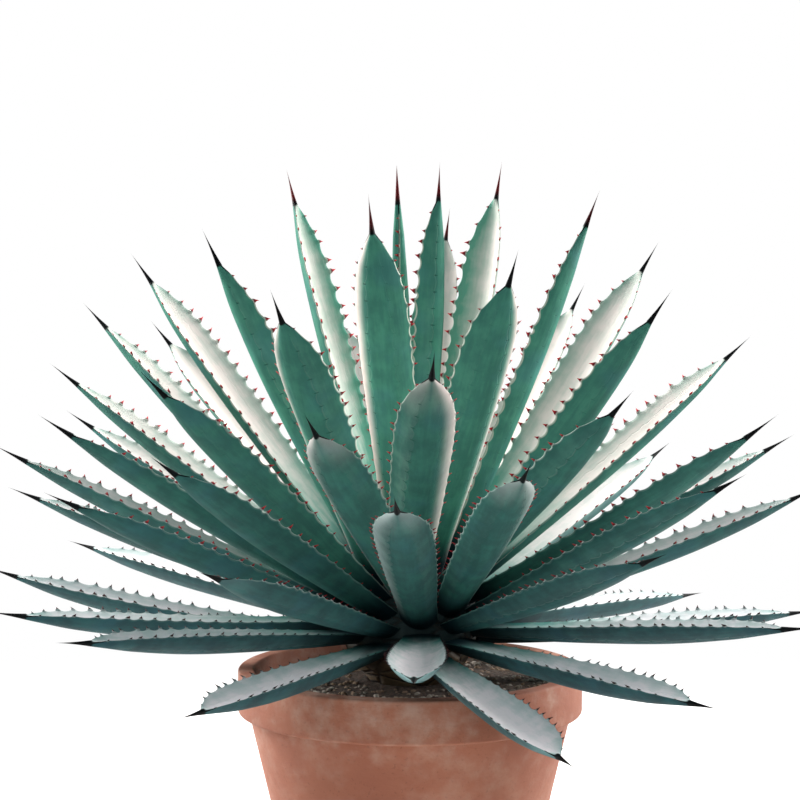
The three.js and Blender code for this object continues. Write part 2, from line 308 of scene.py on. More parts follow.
# %% [markdown]
# ## How the rosette grows
# Each leaf is set by where its tip points, how far it reaches, its width, how much it bows and
# how far it is rolled about its own length. The CAD source holds the same values, in
# millimetres and degrees, so a fine leaf lies inside the same space as its solid.

# %% The rows of the rosette
STEM_RADIUS = 58.0
SEAT_GAP = 0.95
SPINE_LENGTH = 33.0

# Azimuth and elevation of the tip, reach from the crown, width, outward bow, roll; where a row
# stops early, the rest is as usual
USUAL = [0, 0, 385, 42, 2, 0]
ROWS = [
    # The lowest ring, some of it hanging just below level
    [-43.5, 4.5, 372], [-61, 5.8, 372, 42, 8], [-99, 6, 382, 40, 11], [-122, 6.7],
    [-26, -2, 368, 40], [0, 3, 372], [36, -2, 370, 40], [54.5, 4.8, 375, 42, 3],
    [105, -0.8, 384, 42, 3], [131.5, -1.9, 385, 40], [158, 2, 372, 40], [180, 10, 372],
    [-158, 4, 372, 40], [18, -7, 365, 40],
    # The lower spread
    [-23, 13.7], [28, 15.2, 385, 44], [-104, 16.1], [-48, 20.5], [-90, 23.2, 385, 40, 4],
    [99.5, 16.8, 385, 42, 6], [42.6, 22.9], [104, 23.6, 385, 42, 4], [135, 20.5], [157, 17, 372],
    [-142, 14, 372], [-2, 21.9, 385, 44], [-166, 27, 375], [178, 31, 375],
    # The middle of the rosette
    [-32, 25.5], [-57, 29.2], [-114, 26.6, 385, 40], [-102, 34, 390], [13.5, 25.4],
    [-13, 30.8, 385, 44], [-39, 35.5, 385, 44], [29, 33.2, 385, 44], [55, 29.3, 385, 44, 8],
    [3, 38.5, 385, 46], [152, 36, 375], [105, 37.7, 395, 42, 2, 8], [-124, 41.4, 385, 44, 2, -10],
    [-103, 42.7, 400, 44], [49, 47.1, 385, 46], [-23, 47.1, 385, 46], [139.5, 48.6],
    # The upright leaves around the heart
    [20.4, 54, 385, 46], [111, 54, 402, 44, 2, 20], [-104, 51.4, 402, 44, 2, -12], [-56, 59],
    [-164, 46, 380], [80, 66.4, 398, 42, 1], [-13, 67.6, 385, 44], [165, 68.2, 385, 40],
    [-108, 73.9, 402, 40, 2, -10], [105, 78.3, 400, 42, 2, 30], [60, 85.8, 390, 36],
]
LEAVES = np.array([row + USUAL[len(row):] for row in ROWS])

HEART = (-100.0, 88.3, 387.0)

print(len(LEAVES), "leaves, the longest reaching", LEAVES[:, 2].max(), "mm from the crown")

# %% [markdown]
# ## Where the leaves are rooted
# On the real stem the leaf bases crowd together in a close spiral, each shoving its neighbours
# aside. The same thing is done here: every root starts straight below its own tip, and for some
# hundred steps any two roots that are too close push each other apart over the round stem.
# A leaf base is wide and flat, so closeness is measured with an oval, not a circle.

# %% Directions


def unit(vectors):
    return vectors / np.linalg.norm(vectors, axis=-1, keepdims=True)


def direction(azimuth, elevation):
    """Unit vectors: azimuth 0 towards the viewer and growing to the right, elevation upwards."""
    a, e = np.radians(azimuth), np.radians(elevation)
    return np.stack([np.sin(a) * np.cos(e), -np.cos(a) * np.cos(e), np.sin(e)], axis=-1)


def level_side(azimuth):
    """The level direction across a leaf that grows towards this azimuth."""
    a = np.radians(azimuth)
    return np.stack([np.cos(a), np.sin(a), 0 * a], axis=-1)


def square(vectors, axis):
    """The part of each vector that lies square to a unit axis, at unit length."""
    return unit(vectors - (vectors * axis).sum(-1, keepdims=True) * axis)


print("azimuth 90, level, points along", direction(90.0, 0.0).round(3))

# %% Roots
ROOT_ACROSS = np.radians(36)
ROOT_ALONG = np.radians(14.5)
ROOT_STEPS = 500
ROOT_PULL = 0.01
ROOT_SHOVE = 0.25
ROOT_SOFTNESS = 0.05


def root_directions(azimuth, elevation):
    """Roots pushed apart: each pair nearer than 1 in oval measure gets a shove that fades to 0 at 1."""
    wanted = direction(azimuth, elevation)
    sides = level_side(azimuth)
    facing = np.where(sides @ sides.T < 0, -1.0, 1.0)[..., None]
    roots = wanted.copy()
    for _ in range(ROOT_STEPS):
        apart = roots[:, None] - roots[None]
        middle = unit(roots[:, None] + roots[None])
        side = square(sides[:, None] + facing * sides[None], middle)
        rise = np.cross(middle, side)
        across = (apart * side).sum(-1)
        along = (apart * rise).sum(-1)
        distance = np.hypot(across / ROOT_ACROSS, along / ROOT_ALONG)
        push = np.where(distance < 1, ROOT_SHOVE * (1 - distance) / (distance + ROOT_SOFTNESS), 0)
        shove = side * (across * push)[..., None] + rise * (along * push)[..., None]
        roots = unit(roots + (wanted - roots) * ROOT_PULL + shove.sum(1))
    return roots


grown = np.vstack([LEAVES[:, :2], HEART[:2]])
ROOTS = root_directions(grown[:, 0], grown[:, 1])
strayed = np.degrees(np.arccos(np.clip((ROOTS * direction(*grown.T)).sum(-1), -1, 1)))
print("roots stray", round(strayed.mean(), 1), "degrees on average, at most", round(strayed.max(), 1))

# %% [markdown]
# ## The shape of one blade
# A blue agave's leaf is a stiff gutter: its margins stand higher than its middle, its back is a
# rounded keel, it is widest past halfway and it ends in a hard spine. A few knots along the leaf
# say how wide it is and how high the margin, the channel and the keel lie, and a smooth curve
# joins the knots. Modelling it this way keeps the fine leaf and its CAD solid the same shape.

# %% Blade profiles
CROWN_MM = CROWN * 1000
HALF_WIDTH = [
    (0, 0.7), (0.15, 0.75), (0.42, 0.92), (0.68, 1), (0.82, 0.94), (0.9, 0.74), (0.955, 0.43), (1, 0.11),
]
MARGIN_LIFT = [(0, 3.5), (0.15, 5.5), (0.4, 8), (0.65, 9), (0.85, 7), (0.95, 3.5), (1, 0.6)]
CHANNEL_LIFT = [(0, 5), (0.15, 3), (0.4, 0), (0.65, -2), (0.85, -1.5), (0.95, -0.3), (1, 2.2)]
KEEL_LIFT = [(0, -5.5), (0.15, -7), (0.4, -8.5), (0.65, -9), (0.85, -6.5), (0.95, -3.8), (1, -2.4)]
KEEL_ROUNDNESS = 2.2
SPINE_TAPER = 1.6
SCALLOP_ALLOWANCE = 0.5


def smooth(knots, place):
    """A cubic curve through the knots; its slope at each is that between the knots beside it."""
    x, y = np.array(knots, dtype=float).T
    k = np.clip(np.searchsorted(x, place, side="left") - 1, 0, len(x) - 2)
    numbers = np.arange(len(x))
    before, after = np.maximum(numbers - 1, 0), np.minimum(numbers + 1, len(x) - 1)
    slope = (y[after] - y[before]) / (x[after] - x[before])
    w = x[k + 1] - x[k]
    t = (place - x[k]) / w
    start = (1 + 2 * t) * (1 - t) ** 2 * y[k] + t * (1 - t) ** 2 * w * slope[k]
    return start + t * t * (3 - 2 * t) * y[k + 1] + t * t * (t - 1) * w * slope[k + 1]


class Axis:
    """The straight line from a seat on the stem to a tip, with a direction square to it."""

    def __init__(self, root, azimuth, elevation, reach):
        self.start = CROWN_MM + root * (STEM_RADIUS + SEAT_GAP)
        self.tip = CROWN_MM + direction(azimuth, elevation) * reach
        self.length = np.linalg.norm(self.tip - self.start)
        self.chord = (self.tip - self.start) / self.length
        self.side = square(np.array([1.0, 0, 0]), self.chord)
        self.blade_share = 1 - SPINE_LENGTH / self.length


class LeafPath(Axis):
    """A leaf's middle line from its seat to its tip, with the frame along it."""

    def __init__(self, row, root):
        azimuth, elevation, reach, width, bow, roll = row
        super().__init__(root, azimuth, elevation, reach)
        level = square(level_side(azimuth), self.chord)
        self.bend = -bow * np.cross(self.chord, level)
        turn = np.radians(roll)
        self.side = level * np.cos(turn) + np.cross(self.chord, level) * np.sin(turn)
        self.half_width = width / 2 + SCALLOP_ALLOWANCE
        # Teeth are full sooner on upright leaves, and bolder on leaves that grow to the sides
        self.full_place = 0.7 - 0.3 * np.clip(elevation / 50, 0, 1)
        self.boldness = 0.5 + 0.5 * abs(np.sin(np.radians(azimuth))) * min(1, 0.55 + elevation / 80)

    def frame(self, place):
        """Centre, forward, sideways and upward at each place: a straight line plus a parabola."""
        place = np.asarray(place, dtype=float)[..., None]
        centre = self.start + (self.tip - self.start) * place + self.bend * 4 * place * (1 - place)
        forward = unit(self.chord * self.length + self.bend * (4 - 8 * place))
        sideways = square(self.side, forward)
        return centre, forward, sideways, np.cross(forward, sideways)

    def points(self, place, across, face, cut=0.0):
        """Lift runs from the channel (face 1) or the keel (face -1) to the margin; face 0 is midway.
        A cut draws points back from the margin by cut times across to the power 5."""
        blade = np.minimum(1, place / self.blade_share)
        spine = np.clip((place - self.blade_share) / (1 - self.blade_share), 0, 1)
        taper = (1 - spine) ** SPINE_TAPER
        across = across * (1 - cut * across**4)
        edge = smooth(MARGIN_LIFT, blade)
        inner = edge + (smooth(CHANNEL_LIFT, blade) - edge) * (1 - across**2)
        back = edge + (smooth(KEEL_LIFT, blade) - edge) * (1 - np.abs(across) ** KEEL_ROUNDNESS)
        lift = (inner * (1 + face) + back * (1 - face)) / 2 * taper
        half = smooth(HALF_WIDTH, blade) * self.half_width * taper
        centre, forward, sideways, upward = self.frame(place)
        return centre + sideways * (across * half)[..., None] + upward * lift[..., None]


print("a 320 mm leaf is widest", round(0.68 * (320 - SPINE_LENGTH)), "mm from the stem")

# %% [markdown]
# ## Scallops and teeth
# Between two teeth the margin is drawn in as a shallow arc, so each tooth stands on a point. The
# arcs could be cut out with a texture, but they show in outline, so they are real: the margin
# itself moves in and out. The teeth follow the same places, one at each point of the margin. A
# seeded random draw shifts them a little, so every run grows the same plant.

# %% Places of the teeth
TOOTH_PITCH = 13.8
FIRST_TOOTH = 0.1
LAST_TOOTH = 0.965
SCALLOP_CUT = 0.085


def tooth_places(path, random):
    """Places of the teeth on one margin: even steps, closer near the stem, each a little shifted."""
    teeth_share = LAST_TOOTH - FIRST_TOOTH
    count = int(round(teeth_share * path.length * path.blade_share / TOOTH_PITCH)) + 1
    even = np.linspace(0, 1, count) ** 0.92
    shifted = even + random.uniform(-0.25, 0.25, count) / count
    return (FIRST_TOOTH + teeth_share * shifted) * path.blade_share


def tooth_vigour(path, place):
    """Sizes from 0.2 near the stem to 1 along the blade, and smaller again at its end, by straight
    lines between five places. Low leaves reach full size only further out."""
    places = [0, 0.12, path.full_place, 0.86, 1]
    return np.interp(place / path.blade_share, places, [0.2, 0.4, 0.95, 1, 0.4])


def scallop(path, place, teeth):
    """How much of the half width is cut away: a parabola between two teeth, 0 at each of them."""
    count = np.interp(place, teeth, np.arange(len(teeth)))
    between = np.abs(2 * (count % 1) - 1)
    arc = np.where((place > teeth[0]) & (place < teeth[-1]), between**2, 1)
    return SCALLOP_CUT * path.boldness * tooth_vigour(path, place) * (1 - arc)


example = LeafPath(LEAVES[33], ROOTS[33])
print("one margin of leaf 34 carries", len(tooth_places(example, np.random.default_rng(1))), "teeth")

# %% [markdown]
# ## The shape of a tooth
# A tooth is a narrow flattened thorn with a flared foot. It stands out from the margin and a
# little towards the inner side, because the blade is a gutter and its margins point upwards. Each
# is four oval rings and a tip on a line that curves along the leaf: few faces, since there are
# more than two thousand teeth.

# %% Tooth surface
TOOTH_TIP = 4.5
TOOTH_SIDES = 6
TOOTH_CURVE = 1.6
# Height above the margin, half length along the margin and half thickness of each ring
TOOTH_RINGS = np.array([[-1.3, 2.7, 1.1], [0.2, 1.8, 0.85], [1.5, 1.0, 0.55], [3.0, 0.48, 0.32]])
# How far up the tooth each of its points lies, with the middle of the foot and the tip last
THORN_HEIGHTS = np.append(np.repeat(TOOTH_RINGS[:, 0] / TOOTH_TIP, TOOTH_SIDES), [-0.3, 1.0])


def turns(count):
    """Angles of count even steps round a circle."""
    return 2 * np.pi * np.arange(count) / count


def thorns(foot, outward, along, sizes, leans):
    """Ovals round points that climb outward from the foot; they drift along the margin by lean
    times height, with height as a share of the tooth raised to the power TOOTH_CURVE."""
    thick = np.cross(outward, along)
    height = np.append(TOOTH_RINGS[:, 0], TOOTH_TIP)
    drift = TOOTH_TIP * (np.clip(height, 0, None) / TOOTH_TIP) ** TOOTH_CURVE
    middle = outward[:, None] * height[:, None] + along[:, None] * (drift * leans[:, None])[..., None]
    middle = foot[:, None] + middle * sizes[:, None, None]
    turn = turns(TOOTH_SIDES)
    oval = (along[:, None, None] * (TOOTH_RINGS[:, 1, None] * np.cos(turn))[..., None]
            + thick[:, None, None] * (TOOTH_RINGS[:, 2, None] * np.sin(turn))[..., None])
    rings = middle[:, :-1, None] + oval * sizes[:, None, None, None]
    return np.concatenate([rings.reshape(len(foot), -1, 3), middle[:, [0, -1]]], axis=1)


def thorn_faces(count, first):
    """Faces of count thorns whose points follow one another, starting at point number first."""
    faces = tube_faces(len(TOOTH_RINGS), TOOTH_SIDES, flipped=True)
    return tuple(copies(part, count, len(THORN_HEIGHTS), first) for part in faces)


def margin_teeth(path, places, side, random):
    """Thorns on one margin, leaning mostly towards the leaf's tip."""
    count = len(places)
    foot = path.points(places, np.full(count, float(side)), np.zeros(count))
    _, forward, sideways, upward = path.frame(places)
    outward = unit(sideways * side * 0.82 + upward * random.uniform(0.35, 0.7, count)[:, None])
    sizes = tooth_vigour(path, places) * random.uniform(0.8, 1.1, count) * path.boldness**0.5
    return thorns(foot, outward, square(forward, outward), sizes, random.uniform(-0.25, 0.5, count))


one_thorn = thorns(np.zeros((1, 3)), *np.eye(3)[:2, None], np.ones(1), np.zeros(1))[0]
print("a thorn encloses", round(enclosed_volume(one_thorn, *thorn_faces(1, 0)), 1), "mm3")

# %% [markdown]
# ## A whole leaf
# The blade is one tube: a grid whose stations run along the leaf and whose points run round it,
# over the inner face from the left margin to the right and back under the keel. Points crowd near
# the margins, where the shape turns. At the stem the first rings slide along the leaf until they
# sit on the round stem, and at the far end the tube closes in the tip of the spine. Sculpting
# fifty-six blades by hand would take days; one formula and fifty-six rows keep them related.

# %% Blade surface
STATIONS = 236
SPINE_STATIONS = 14
AROUND = 24
SEAT_FADE = 0.1


def seated(path, points, place):
    """Slides points along the leaf so that the first ring lies on the seat; the slide soon fades."""
    base = points[0] - CROWN_MM
    along = base @ path.chord
    slide = -along + np.sqrt(along**2 - (base**2).sum(-1) + (STEM_RADIUS + SEAT_GAP) ** 2)
    fade = np.clip(1 - place / SEAT_FADE, 0, 1)[:, None] ** 2
    return points + (fade * slide)[..., None] * path.chord


def blade_grid(path, teeth):
    """Points of the tube, with place along the leaf, -1 to 1 across it, and 1 on the inner face."""
    spine = np.linspace(0, 1, SPINE_STATIONS + 1)[1:-1] ** 1.2
    blade = np.linspace(0, path.blade_share, STATIONS)
    place = np.concatenate([blade, path.blade_share + (1 - path.blade_share) * spine])
    half = AROUND // 2
    over = -np.cos(np.pi * np.arange(half + 1) / half)
    across = np.concatenate([over, over[-2:0:-1]])
    face = np.repeat([0.0, 1.0, 0.0, -1.0], [1, half - 1, 1, half - 1])
    cuts = [scallop(path, place, teeth[side])[:, None] for side in (-1, 1)]
    place_grid, across_grid, face_grid = np.broadcast_arrays(place[:, None], across[None], face[None])
    points = path.points(place_grid, across_grid, face_grid, np.where(across < 0, *cuts))
    return seated(path, points, place), place_grid, across_grid, face_grid


def toothed_tube(path, grid, cones, flipped=False):
    """Points, quads and triangles of a tube that is closed at the path's two ends, with its thorns."""
    rings, around = grid.shape[:2]
    points = np.concatenate([grid.reshape(-1, 3), [path.start, path.tip], cones.reshape(-1, 3)])
    faces = zip(tube_faces(rings, around, flipped), thorn_faces(len(cones), rings * around + 2))
    quads, triangles = (np.concatenate(parts) for parts in faces)
    return points, quads, triangles


# %% Attributes of a leaf


def leaf_marks(path, points, place, across, face, tooth_place):
    """What the finish reads: mm along, sideways and upward from the root; mm to the blade's end;
    -1 to 1 across; outward, the same but 1 on the margin that faces away from the plant's middle;
    1 on the inner face to -1 on the back; and how far up its tooth a point lies, -1 off the teeth."""
    own_axes = np.stack([path.chord, path.side, np.cross(path.chord, path.side)], axis=1)
    outer = path.side[0] * np.sign(path.chord[0])
    along, sideways, upward = ((points - path.start) @ own_axes).T
    on_thorns = len(tooth_place) * len(THORN_HEIGHTS)
    rest = (0, 2 + on_thorns)
    all_places = np.concatenate([place.ravel(), [0, 1], np.repeat(tooth_place, len(THORN_HEIGHTS))])
    return {
        "along": along, "sideways": sideways, "upward": upward,
        "to_end": (path.blade_share - all_places) * path.length,
        "across": np.concatenate([across.ravel(), [0, 0], np.ones(on_thorns)]),
        "outward": np.pad(across.ravel() * outer, rest),
        "face": np.pad(face.ravel(), rest),
        "tooth": np.append(np.full(place.size + 2, -1.0), np.tile(THORN_HEIGHTS, len(tooth_place))),
    }


def leaf_arrays(row, root, random):
    """Points in mm, faces and attributes of a leaf: its blade's tube and the teeth of both margins."""
    path = LeafPath(row, root)
    teeth = {side: tooth_places(path, random) for side in (-1, 1)}
    grid, place, across, face = blade_grid(path, teeth)
    cones = np.concatenate([margin_teeth(path, teeth[side], side, random) for side in (-1, 1)])
    points, quads, triangles = toothed_tube(path, grid, cones)
    marks = leaf_marks(path, points, place, across, face, np.concatenate(list(teeth.values())))
    return points, quads, triangles, marks


trial = leaf_arrays(LEAVES[33], ROOTS[33], np.random.default_rng(1))
print("leaf 34:", len(trial[0]), "points,", round(enclosed_volume(*trial[:3]) / 1000, 1), "cm3")

# %% [markdown]
# ## The skin of a leaf
# The skin is blue-green under a pale waxy bloom. The inner face keeps nearly all its bloom and
# looks white in strong light, with the green showing again towards the stem; on low leaves it is
# painted paler, as painted light that makes up for the shade they lie in. The back has lost most
# of it: it is deep teal on old low leaves, darker there partly as painted shade, and greener on
# the young upright ones. Along the margin that faces away from the middle it is paler, partly
# bloom that is left there and partly painted rim light. The leaves that lean towards the viewer
# get a painted highlight of the same pale colour round their tips. Every pattern is worked out
# from the leaf's own attributes, so it follows the leaf and stays the same from all sides.

# %% Wires that follow a leaf


class LeafWires:
    """The attributes of a leaf as wires, and noises that are read in centimetres along and across
    it; each leaf reads them at a place of its own, and streaks are drawn out along the leaf."""

    def __init__(self, f):
        for name in ("along", "sideways", "upward", "to_end", "across", "outward", "face", "tooth",
                     "upright", "dust", "number"):
            setattr(self, name, f.attribute(name))
        own = self.number * 370.0
        here = f.vector(self.along * 0.1 + own, self.sideways * 0.1, self.upward * 0.1)
        drawn = f.vector(self.along * 0.014 + own, self.sideways * 0.1, self.upward * 0.1)
        self.spread = abs(self.across)
        self.clouds = f.noise(here, 0.22, 3.0)
        self.patches = f.noise(here, 0.55, 4.0)
        self.streaks = f.noise(drawn, 2.6, 2.0)
        self.grain = f.noise(here, 8.0, 2.0)


def back_colour(f, leaf, patchy):
    """Patchy green, shaded and cool skin, darker on low leaves partly as painted shade; bloom and painted
    rim light by the outer margin; a painted highlight near the tip.
    """
    raised = leaf.upright.step(0, 0.85)
    # Low leaves' backs are darker, partly their own colour and partly painted shade
    green = f.mix(raised, (44, 83, 86), (74, 142, 121))
    shaded = f.mix(raised, (42, 68, 73), (62, 121, 107))
    cool = f.mix(raised, (48, 88, 101), (74, 132, 134))
    skin = f.mix(leaf.clouds.step(0.5, 0.68) * 0.35, f.mix(patchy, shaded, green), cool)
    bloom = f.mix(leaf.upright.step(0.1, 0.6), (140, 180, 180), (232, 216, 210))
    # Painted rim light, partly bloom: the margin on the outer side, towards the side lights, is paler
    outer_margin_bloom_and_rim_light = leaf.outward.step(0.45, 1.05) * (leaf.upright * 0.9 + 0.3) * (leaf.patches * 0.7 + 0.65)
    # Painted highlight: pale round the tip of low leaves that point at the viewer
    tip_highlight = leaf.to_end.step(50, -10) * leaf.dust * (leaf.spread * 0.75 + leaf.patches * 0.3)
    return f.mix(outer_margin_bloom_and_rim_light + tip_highlight, skin, bloom)


def inner_colour(f, leaf, patchy):
    """Green skin under bloom that is thick along the middle and thin near the tip and the stem; the
    thick bloom is painted paler on low leaves as painted light, and on the most upright leaves it
    lies more on the outer half, partly as bloom and partly as painted light."""
    thin = f.mix(leaf.upright, (76, 158, 148), (96, 158, 138))
    # Low leaves get the paler thick bloom: painted light that makes up for the shade they lie in
    thick = f.mix(leaf.upright.step(0.0, 0.5), (230, 225, 228), (218, 209, 204))
    waxed = patchy * 0.3 + leaf.to_end.step(-40, 50) * 0.55 + leaf.spread.step(1.0, 0.3) * 0.35
    worn = leaf.to_end.step(140, 285) * 0.8
    # The outer half of the most upright leaves is paler: partly bloom, partly painted light
    outer_half_bloom_and_light = (leaf.outward * 0.75 - 0.32) * leaf.upright.step(0.6, 0.95)
    return f.mix(waxed - worn + outer_half_bloom_and_light, thin, thick)


def leaf_skin(f, leaf):
    """The colours of the back and of the inner face, which meet at the margin."""
    patchy = (leaf.patches * 0.65 + leaf.streaks * 0.35).step(0.38, 0.66)
    return f.mix(leaf.face.step(-0.4, 0.0), back_colour(f, leaf, patchy), inner_colour(f, leaf, patchy))


# %% [markdown]
# ## Prints from the bud
# While a leaf was furled, the toothed margins of its neighbours pressed into it. The print stays
# for life: a faint scalloped line with paler bloom outside it, and a short dark dash where each
# tooth lay. Agave growers know leaves by these prints. The line swings about with noise, and each
# leaf has it more strongly on one half.

# %% Bud prints


def bud_prints(leaf):
    """Masks of the paler strip, the line and the dashes, from the distance to a scalloped line."""
    swing = (leaf.patches - 0.5) * 0.3 + leaf.to_end * 0.0006
    cell = (leaf.to_end * (1 / TOOTH_PITCH) + leaf.number * 7).math("FRACT")
    arc = (cell - 0.5) * (cell - 0.5) * 4
    beyond = leaf.spread - (swing + 0.38 + arc * 0.07)
    printed_side = (leaf.number - 0.5).step(-0.001, 0.001) * 2 - 1
    half = (leaf.across * printed_side).step(-0.15, 0.15) * 0.75 + 0.25
    on_blade = leaf.to_end.step(4, 24) * half
    strip = beyond.step(-0.01, 0.05) * beyond.step(0.6, 0.05) * on_blade
    line = abs(beyond).step(0.035, 0.004) * on_blade
    dash = (arc - beyond * beyond * 3).step(0.82, 0.94) * abs(beyond + 0.04).step(0.1, 0.05)
    return strip, line, dash * on_blade * leaf.face.step(0.5, -0.5)


print("prints repeat every", TOOTH_PITCH, "mm, as the teeth did that pressed them in")

# %% [markdown]
# ## Margins, teeth and spines
# A cream line runs along the margin on the back, partly painted rim light, duller on old leaves,
# and a faint dark line of horn on the inner side. On the heart, the wrapped margins are broad dark
# lines: there the value across goes a little past 1. Teeth are crimson with a redder point on young
# leaves and nearly black on the lowest. The end spine is black, or dark red on the most upright
# leaves, and its horn runs a little way down both margins.

# %% Horn
SPINE_ROOT = 8.0


def horn_masks(leaf):
    """Where the cream line, which is partly painted rim light, the dark edge and the spine lie; noise frays
    the foot of the spine.
    """
    # The cream line on the back of the margin is partly painted rim light
    cream_rim_light = leaf.spread.step(0.955, 0.975) * leaf.face.step(0.1, -0.1) * leaf.to_end.step(2, 12)
    old = leaf.upright.step(0.4, 0.05)
    edge = leaf.spread.step(0.975, 0.99) * leaf.face.step(-0.1, 0.1) * (old * 0.5 + 0.3)
    wrapped = leaf.spread.step(1.01, 1.04) * 0.85
    root = leaf.spread.step(0.82, 0.99) * SPINE_ROOT
    spine = (leaf.to_end - root + leaf.patches * 2 - 1.5).step(1.0, -1.0)
    return cream_rim_light, edge + wrapped, spine


def horn_colours(f, leaf):
    """Colour of the spine from its foot to its point, and of a tooth from its foot to its point."""
    young = leaf.upright.step(0.8, 1.0)
    shaft = f.mix(young, (6, 8, 10), (98, 22, 26))
    point = f.mix(young, (20, 17, 19), (128, 84, 82))
    spine = f.mix(leaf.to_end.step(-1, -9), (6, 14, 16), shaft)
    spine = f.mix(leaf.to_end.step(-20, -33), spine, point)
    ripe = leaf.upright.step(0.05, 0.4)
    tooth_foot = f.mix(ripe, (16, 20, 22), (112, 30, 40))
    tooth_point = f.mix(ripe, (64, 32, 34), (190, 54, 57))
    return spine, f.mix(leaf.tooth.step(0.0, 0.6), tooth_foot, tooth_point)


print("the spine's horn runs", SPINE_ROOT, "mm down each margin")

# %% Leaf finish


def leaf_finish():
    """Skin, then prints, painted shade near the stem and round the crown, the margin's lines, the spine and
    the teeth.
    """
    f = new_finish("agave_leaf")
    leaf = LeafWires(f)
    strip, line, dash = bud_prints(leaf)
    cream_rim_light, edge, spine = horn_masks(leaf)
    spine_colour, tooth_colour = horn_colours(f, leaf)
    thorn = leaf.tooth.step(-0.25, 0.05)
    paler = (strip * (leaf.dust * 0.08 + 0.03) + line * 0.07) * (leaf.patches * 2.4 - 0.4)
    # Painted shade: darker towards the stem and dark round the crown
    painted_shade_near_stem = leaf.to_end.step(190, 320) * 0.3 + leaf.along.step(60, 8) * 0.8
    # The cream line's colour, partly painted rim light, duller and greener on low leaves
    cream_rim_light_colour = f.mix(leaf.upright.step(0.3, 0.7), (136, 174, 164), (226, 222, 208))
    colour = f.paint(
        leaf_skin(f, leaf),
        (paler, (200, 212, 204)),
        (dash * 0.6, (30, 76, 66)),
        (painted_shade_near_stem, (18, 42, 48)),
        (cream_rim_light * (leaf.upright * 0.4 + 0.14), cream_rim_light_colour),
        (edge, (38, 68, 62)),
        (spine, spine_colour),
        (thorn, tooth_colour),
    )
    return f.surface({
        "Base Color": colour,
        "Roughness": 0.58 + (leaf.grain - 0.5) * 0.15 - spine * 0.1 - thorn * 0.1,
        "Normal": f.relief((leaf.streaks, 0.00025), (1 - line * 0.5 - dash, 0.0004), (leaf.grain, 0.00005)),
        "Specular IOR Level": 0.05,
    })


leaf_material = leaf_finish()

# %% [markdown]
# ## All fifty-six leaves
# One loop grows every leaf from its row and its root. How upright it stands tints it, since the
# young upright leaves are greener, and a number of its own shifts its patterns. A painted highlight
# lies round the tips of leaves that are low enough and point at the viewer or nearly so.

# %% Grow the leaves
LEAF_SEED = 500


def stand_in(name, slot, node, points, quads, triangles, material, attributes=None):
    """Adds a piece from points in mm, lets it stand for its CAD node and returns its volume in cm3."""
    dress(add_piece(name, points, quads, triangles, material, attributes), slot, node)
    return enclosed_volume(points, quads, triangles) / 1000


def grow_leaf(index):
    """Volume in cm3 of a new leaf, mm between its box and its solid's, and its triangles."""
    name = f"leaf_{index + 1:02d}"
    azimuth, elevation = LEAVES[index, :2]
    random = np.random.default_rng(LEAF_SEED + index)
    points, quads, triangles, marks = leaf_arrays(LEAVES[index], ROOTS[index], random)
    # Painted highlight round the tip: only low leaves that point at the viewer get it
    facing = np.clip(np.cos(np.radians(azimuth)) * 12 - 10.6, 0, 1)
    marks["upright"] = np.clip(elevation / 75, 0, 1)
    marks["dust"] = random.uniform(0.5, 1) * facing * np.clip((46 - elevation) / 12, 0, 1)
    marks["number"] = random.uniform(0, 1)
    volume = stand_in(f"{name}_blade", "leaf", name, points, quads, triangles, leaf_material, marks)
    box = np.array([points.min(0), points.max(0)])
    off = np.abs(box - np.array(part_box(name)) * 1000).max()
    return volume, off, len(quads) * 2 + len(triangles)


volumes, offs, triangle_counts = np.array([grow_leaf(index) for index in range(len(LEAVES))]).T
print("leaves hold", round(volumes.min(), 1), "to", round(volumes.max(), 1), "cm3 each")
print("their boxes lie within", round(offs.max(), 1), "mm of the solids' boxes")
print("they have", int(triangle_counts.sum()), "triangles in all")

# %% [markdown]
# ## The heart
# The youngest leaves are still rolled round each other in one spear. Each wrapped leaf shows only
# its margin, as a low step that winds up the spear with teeth lying against it. So the section is
# a circle with two small steps, and the steps turn a little further with height.

# %% Heart surface
HEART_RADIUS = 8.5
HEART_RADII = [(0, 0.75), (0.2, 0.9), (0.45, 1), (0.66, 0.88), (0.82, 0.56)]
HEART_STEP = 1.3
HEART_TWIST = 1.9
HEART_STATIONS = 170
HEART_AROUND = 48


def heart_grid(axis):
    """Rings whose radius falls by a small step twice in each turn; the steps wind up the spear."""
    back = np.cross(axis.chord, axis.side)
    end = axis.blade_share
    radii = np.array(HEART_RADII + [(end, 0.27), ((1 + end) / 2, 0.13), (1, 0)]).T
    place = np.linspace(0, 1, HEART_STATIONS)[:-1]
    part = (np.arange(HEART_AROUND) * 2 / HEART_AROUND) % 1
    step = HEART_STEP * np.interp(place, [0, 0.3, end - 0.03, end + 0.01], [0.6, 1, 0.5, 0])
    radius = np.interp(place, *radii)[:, None] * HEART_RADIUS + step[:, None] * (0.5 - part)
    angle = turns(HEART_AROUND) + HEART_TWIST * place[:, None]
    ring = axis.side * (np.cos(angle) * radius)[..., None] + back * (np.sin(angle) * radius)[..., None]
    grid = axis.start + axis.chord * (place[:, None, None] * axis.length) + ring
    return seated(axis, grid, place), place, part, ring


# %% Heart piece
HEART_SEED = 77


